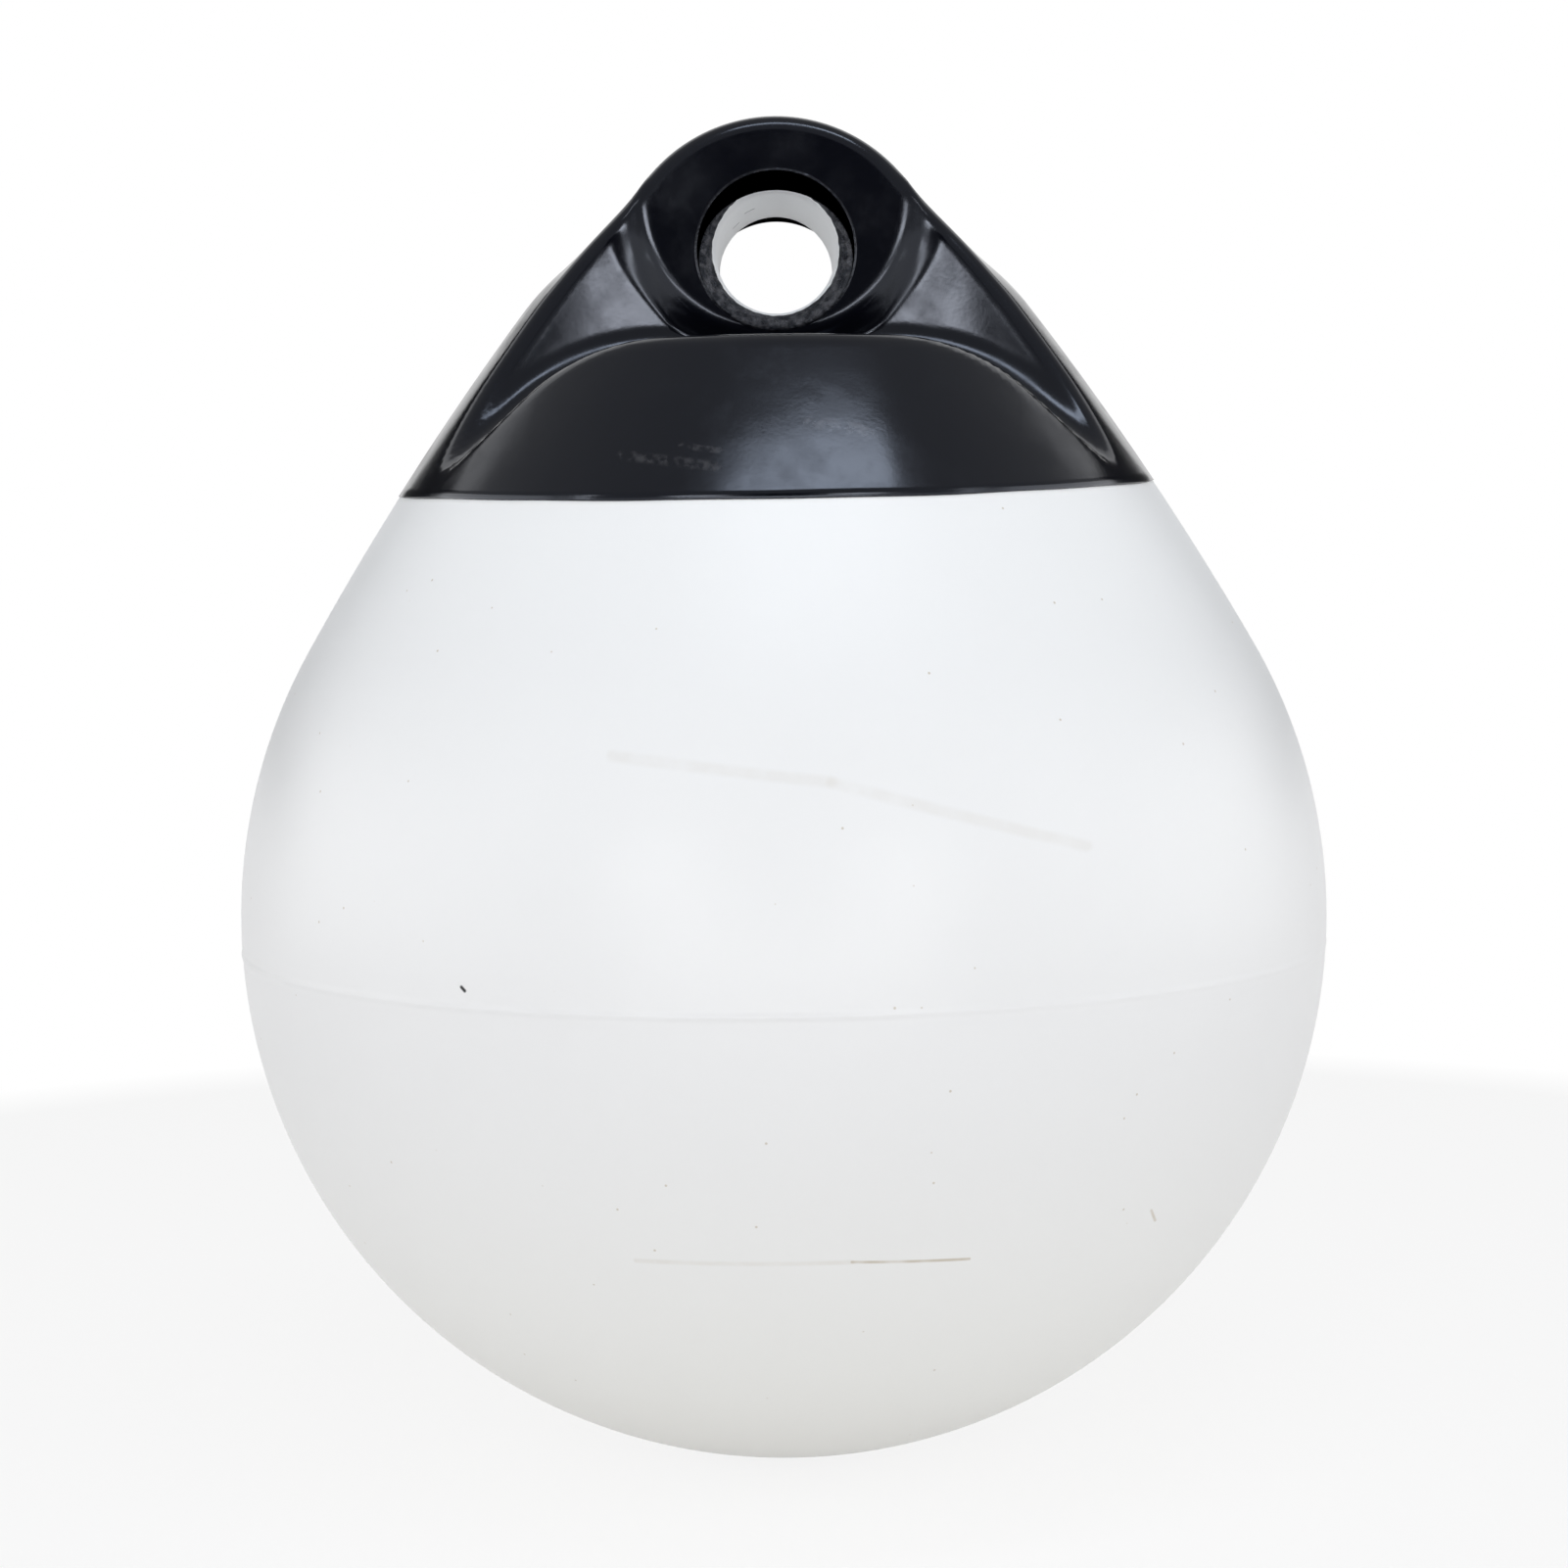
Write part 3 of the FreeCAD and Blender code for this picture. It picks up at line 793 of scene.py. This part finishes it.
def noise(tree, place, scale, detail, rough=0.5):
    """Cloudy pattern with so many bumps in a metre, round about a half."""
    inputs = {"Vector": place, "Scale": scale, "Detail": detail, "Roughness": rough}
    return add_node(tree, "TexNoise", inputs).outputs["Fac"]


def relief(tree, height, strength, depth, under=None):
    """Normals of a relief of some depth, laid over another relief's."""
    inputs = {"Height": height, "Strength": strength, "Distance": depth}
    if under is not None:
        inputs["Normal"] = under
    return add_node(tree, "Bump", inputs).outputs[0]


def part_of(tree, place, axis):
    """One coordinate of a place."""
    return add_node(tree, "SeparateXYZ", {0: place}).outputs[axis]


def painted(tree, under, over, mask):
    """Colour with another laid over it where a mask says."""
    mix = add_node(tree, "Mix", {0: mask, 6: under, 7: over}, data_type="RGBA")
    return mix.outputs[2]


def near_line(tree, place, start, end, width, across=(1, 1, 1)):
    """Mask that is 1 on the line between two points and fades out over a width.

    Seen along an axis where across is 0, so that a straight line lies on a round face.
    """
    full = 0.4 * width
    start, end = Vector(start) * Vector(across), Vector(end) * Vector(across)
    reach = end - start
    flat = combine(tree, "MULTIPLY", {0: place, 1: across})
    offset = combine(tree, "SUBTRACT", {0: flat, 1: start})
    along = combine(tree, "DOT_PRODUCT", {0: offset, 1: reach / reach.length_squared}, "Value")
    share = add_node(tree, "Clamp", {0: along}).outputs[0]
    foot = combine(tree, "SCALE", {0: reach, "Scale": share})
    away = combine(tree, "DISTANCE", {0: offset, 1: foot}, "Value")
    return ranged(tree, away, full, width, 1.0, 0.0)


def satin_material(name, base, rough):
    """Moulded plastic or rubber: fine grain in roughness and relief."""
    material, tree, surface = new_material(name)
    place = add_node(tree, "TexCoord").outputs["Object"]
    grain = noise(tree, place, scale=2500.0, detail=3.0)
    spread = ranged(tree, grain, 0.0, 1.0, rough - 0.08, rough + 0.1)
    fine = relief(tree, grain, strength=0.15, depth=0.00005)
    fill(tree, surface, {"Base Color": (*base, 1), "Roughness": spread, "Normal": fine})
    return material


def vinyl_colour(tree, place, finish):
    """White painted lighter and cooler towards the head and lighter and warmer towards the bottom, as
    painted light from above and painted bounce light from the floor, with specks of dust.
    """
    height = part_of(tree, place, "Z")
    # Painted light: the upper mask lightens and cools the white towards the head, the lower one lightens and
    # warms it towards the bottom.
    high = ranged(tree, height, start=-0.190, end=-0.075)
    low = ranged(tree, height, start=-0.185, end=-0.330, shape="SMOOTHSTEP")
    base = painted(tree, (*finish.vinyl, 1), (*finish.vinyl_top_painted_light, 1), high)
    base = painted(tree, base, (*finish.vinyl_low_painted_bounce, 1), low)
    cells = add_node(tree, "TexVoronoi", {"Vector": place, "Scale": 110.0}).outputs["Distance"]
    dust = ranged(tree, cells, start=0.025, end=0.045, low=0.5, high=0.0)
    return painted(tree, base, (*finish.scuff, 1), dust)


def vinyl_marks(tree, place, base, finish, wear):
    """Rub, scratch and nick on the ball's front, the flecks in the eye and the speck above the seam."""
    broken = noise(tree, place, scale=160.0, detail=3.0)
    worn = ranged(tree, broken, start=0.30, end=0.60, low=0.35, high=1.0)
    in_front = times(tree, part_of(tree, place, "Y"), wear.front, "LESS_THAN")
    lines = (
        (wear.rub_start, wear.rub_bend, wear.rub_width, 0.09),
        (wear.rub_bend, wear.rub_end, wear.rub_width, 0.09),
        (wear.scratch_start, wear.scratch_deep, wear.scratch_width, 0.15),
        (wear.scratch_deep, wear.scratch_end, wear.nick_width, 0.6),
        (wear.nick_start, wear.nick_end, wear.nick_width, 0.5),
    )
    for start, end, width, strength in lines:
        line = times(tree, near_line(tree, place, start, end, width, (1, 0, 1)), in_front)
        base = painted(tree, base, (*finish.scuff, 1), times(tree, times(tree, line, worn), strength))
    flecks = [(wear.fleck1_start, wear.fleck1_end), (wear.fleck2_start, wear.fleck2_end)]
    flecks.append((wear.speck_start, wear.speck_end))
    for start, end in flecks:
        base = painted(tree, base, (*finish.coat, 1), near_line(tree, place, start, end, wear.fleck_width))
    return base


def vinyl_material(finish, wear):
    """Glossy white vinyl: painted lighter and cooler above and warmer below as painted light, uneven in
    gloss, marked by use and with flecks of the coat.
    """
    material, tree, surface = new_material("White vinyl")
    place = add_node(tree, "TexCoord").outputs["Object"]
    base = vinyl_marks(tree, place, vinyl_colour(tree, place, finish), finish, wear)
    cloud = noise(tree, place, scale=22.0, detail=5.0, rough=0.6)
    gloss = ranged(tree, cloud, 0.3, 0.7, finish.vinyl_rough - 0.02, finish.vinyl_rough + 0.03)
    fine = noise(tree, place, scale=700.0, detail=3.0)
    peel = relief(tree, fine, strength=0.08, depth=0.0002)
    wavy = relief(tree, cloud, strength=0.10, depth=0.001, under=peel)
    fill(tree, surface, {"Base Color": base, "Roughness": gloss, "Normal": wavy})
    return material


def coat_colour(tree, place, wiped, finish, wear):
    """Black with grey specks painted where it was wiped, as painted glints on the rough crumbs there, and
    broken grey smears on the front.
    """
    broken = noise(tree, place, scale=420.0, detail=3.0)
    worn = ranged(tree, broken, start=0.42, end=0.62, high=0.7)
    # Painted glints: grey specks in the wiped ring stand in for light caught by the rough crumbs.
    base = painted(tree, (*finish.coat, 1), (*finish.crumb_glint, 1), times(tree, worn, wiped))
    in_front = times(tree, part_of(tree, place, "Y"), wear.front, "LESS_THAN")
    narrow, wide = 0.625, 1.375
    smears = (
        (wear.smear1_start, wear.smear1_end, wear.smear_width),
        (wear.smear2_start, wear.smear2_end, wear.smear_width * narrow),
        (wear.smear3_start, wear.smear3_end, wear.smear_width * wide),
    )
    for start, end, width in smears:
        line = times(tree, near_line(tree, place, start, end, width, (1, 0, 1)), in_front)
        base = painted(tree, base, (*finish.smear, 1), times(tree, line, worn))
    return base


def coat_material(finish, wear, form):
    """Glossy black coat: smudged, slightly wavy, and rough where it was wiped into the eye's flare."""
    material, tree, surface = new_material("Black coat")
    place = add_node(tree, "TexCoord").outputs["Object"]
    radius = combine(tree, "LENGTH", {0: combine(tree, "MULTIPLY", {0: place, 1: (1, 0, 1)})}, "Value")
    edge, soft = form.mouth_radius, 0.0006
    wiped = ranged(tree, radius, edge + soft, edge - soft)

    cloud = noise(tree, place, scale=55.0, detail=6.0, rough=0.65)
    smudged = ranged(tree, cloud, start=0.48, end=0.72, high=finish.smudge)
    clean = times(tree, smudged, finish.coat_rough, "ADD")
    rough = times(tree, clean, times(tree, wiped, finish.crumb_rough), "ADD")

    grain = times(tree, noise(tree, place, scale=800.0, detail=3.0), wiped)
    fine = noise(tree, place, scale=900.0, detail=2.0)
    slow = noise(tree, place, scale=38.0, detail=2.0)
    crumbs = relief(tree, grain, strength=1.0, depth=0.0020)
    peel = relief(tree, fine, strength=0.05, depth=0.0002, under=crumbs)
    wavy = relief(tree, slow, strength=0.12, depth=0.0015, under=peel)
    base = coat_colour(tree, place, wiped, finish, wear)
    # Painted reflection: the specular tint makes the coat's reflections bluish, standing in for cool studio
    # light.
    fill(tree, surface, {"Base Color": base, "Specular Tint": (*finish.coat_painted_sheen, 1)})
    fill(tree, surface, {"Roughness": rough, "Normal": wavy})
    return material


def paper_material(finish, studio):
    """White paper, lit near the fender so that it keeps the shadow, and plain white farther off."""
    material, tree, surface = new_material("Backdrop paper")
    fill(tree, surface, {"Base Color": (*finish.paper, 1), "Roughness": 1.0, "Specular IOR Level": 0.0})
    place = add_node(tree, "TexCoord").outputs["Object"]
    away = combine(tree, "LENGTH", {0: place}, "Value")
    plain_white = times(tree, ranged(tree, away, studio.near, studio.beyond), studio.veil, "MAXIMUM")
    path = add_node(tree, "LightPath").outputs
    seen = times(tree, path["Is Camera Ray"], path["Is Glossy Ray"], "MAXIMUM")
    seen = times(tree, seen, path["Is Transmission Ray"], "MAXIMUM")
    white = add_node(tree, "Emission", {"Color": (1, 1, 1, 1), "Strength": 1.0}).outputs[0]
    share = times(tree, plain_white, seen)
    mix = add_node(tree, "MixShader", {0: share, 1: surface.outputs[0], 2: white})
    fill(tree, tree.nodes["Material Output"], {"Surface": mix.outputs[0]})
    return material


def add_backdrop(form, studio, finish):
    """Sheet of paper: floor, quarter-round bend and wall, the same at every width."""
    bend_steps = 25
    low = -form.ball_drop - form.ball_radius
    sweep = np.linspace(0, np.pi / 2, bend_steps)
    start = studio.wall_place - studio.wall_bend
    y = np.concatenate([[-studio.paper_half], start + studio.wall_bend * np.sin(sweep), [studio.wall_place]])
    bend = low + studio.wall_bend * (1 - np.cos(sweep))
    z = np.concatenate([[low], bend, [low + studio.wall_height]])
    x = np.array((-studio.paper_half, studio.paper_half))[:, None]
    grid = np.stack([x + 0 * y, y + 0 * x, z + 0 * x], -1)
    mesh = new_mesh("backdrop", grid.reshape(-1, 3).tolist(), faces_of(grid, 0, False))
    mesh.shade_smooth()
    mesh.materials.append(paper_material(finish, studio))
    floor = add_thing("backdrop", mesh)


def add_card(name, start, end, low, high, material):
    """Upright black card over a line on the floor. It keeps light off the coat and isn't seen itself."""
    corners = [(*start, low), (*end, low), (*end, high), (*start, high)]
    card = add_thing(name, new_mesh(name, corners, [(0, 1, 2, 3)]))
    card.data.materials.append(material)
    card.visible_camera = False


def add_cards(form, studio, finish):
    """Card in front for the dark face of the boss, and one behind on each side for the coat's flanks."""
    material, tree, surface = new_material("Black card")
    fill(tree, surface, {"Base Color": (*finish.card, 1)})
    x, y = studio.front_card
    low = -form.ball_drop - form.ball_radius
    add_card("flag front", (-x, y), (x, y), low, studio.card_top, material)
    for name, side in (("left", -1), ("right", 1)):
        ends = [(side * end[0], end[1]) for end in (studio.back_card_inner, studio.back_card_outer)]
        add_card("flag " + name, *ends, studio.back_card_low, studio.card_top, material)


def add_lamp(name, place, aim, size, power, tint=(1, 1, 1)):
    """Soft rectangular lamp that faces a point."""
    lamp = bpy.data.lights.new(name, "AREA")
    lamp.shape = "RECTANGLE"
    lamp.size, lamp.size_y = size
    lamp.energy = power
    lamp.color = tint
    thing = add_thing(name, lamp)
    thing.location = place
    thing.rotation_euler = (Vector(aim) - Vector(place)).to_track_quat("-Z", "Y").to_euler()


def add_lamps(studio):
    """Even light from all round, one lamp above, one low in front, and three pairs beside the camera."""
    world = bpy.data.worlds.new("Studio air")
    world.use_nodes = True
    tree = world.node_tree
    fill(tree, tree.nodes["Background"], {"Color": (1, 1, 1, 1), "Strength": studio.air})
    bpy.context.scene.world = world

    aim = studio.aim
    add_lamp("Top", studio.top_place, aim, studio.top_size, studio.top_power, studio.cool)
    add_lamp("Low", studio.low_place, aim, studio.low_size, studio.low_power)
    pairs = (
        ("Front ", studio.front_place, studio.front_size, studio.front_power),
        ("Strip ", studio.strip_place, studio.strip_size, studio.strip_power),
        ("Side ", studio.side_place, studio.side_size, studio.side_power),
    )
    for name, side in (("left", -1), ("right", 1)):
        for kind, (x, y, z), size, power in pairs:
            add_lamp(kind + name, (side * x, y, z), aim, size, power)


def add_camera(studio):
    """Camera in front of the fender, a little below the eye and looking down."""
    camera = bpy.data.cameras.new("Camera")
    camera.lens = studio.lens
    camera.sensor_width = 36
    camera.shift_x = studio.slide
    seen = add_thing("Camera", camera)
    seen.location = (0, -studio.camera_distance, -studio.camera_drop)
    seen.rotation_euler = (np.pi / 2 - studio.pitch, studio.roll, 0)
    bpy.context.scene.camera = seen


class FENDER_OT_studio(bpy.types.Operator):
    """Build the floor and backdrop, the lamps, the cards and the camera"""

    bl_idname = "fender.studio"
    bl_label = "Studio"

    def execute(self, context):
        scene = context.scene
        form, studio, finish = scene.fender_form, scene.fender_studio, scene.fender_finish
        scene.view_settings.view_transform = "Standard"
        add_backdrop(form, studio, finish)
        add_lamps(studio)
        add_cards(form, studio, finish)
        add_camera(studio)
        return {"FINISHED"}


class FENDER_PT_panel(bpy.types.Panel):
    """Buttons for the pieces and the studio"""

    bl_idname = "FENDER_PT_panel"
    bl_label = "Ball fender"
    bl_space_type = "VIEW_3D"
    bl_region_type = "UI"
    bl_category = "Fender"

    def draw(self, context):
        for operator in OPERATORS:
            self.layout.operator(operator.bl_idname)


GROUPS = {
    "fender_form": FenderForm,
    "fender_coat": FenderCoat,
    "fender_valve": FenderValve,
    "fender_finish": FenderFinish,
    "fender_wear": FenderWear,
    "fender_studio": FenderStudio,
}
OPERATORS = (FENDER_OT_body, FENDER_OT_coat, FENDER_OT_valve, FENDER_OT_studio)
CLASSES = (*GROUPS.values(), *OPERATORS, FENDER_PT_panel)


def register():
    for item in CLASSES:
        bpy.utils.register_class(item)
    for name, group in GROUPS.items():
        setattr(bpy.types.Scene, name, bpy.props.PointerProperty(type=group))


def unregister():
    for name in GROUPS:
        delattr(bpy.types.Scene, name)
    for item in reversed(CLASSES):
        bpy.utils.unregister_class(item)


def main():
    register()
    bpy.ops.fender.body()
    bpy.ops.fender.coat()
    bpy.ops.fender.valve()
    bpy.ops.fender.studio()
    bpy.context.view_layer.update()


if __name__ == "__main__":
    main()
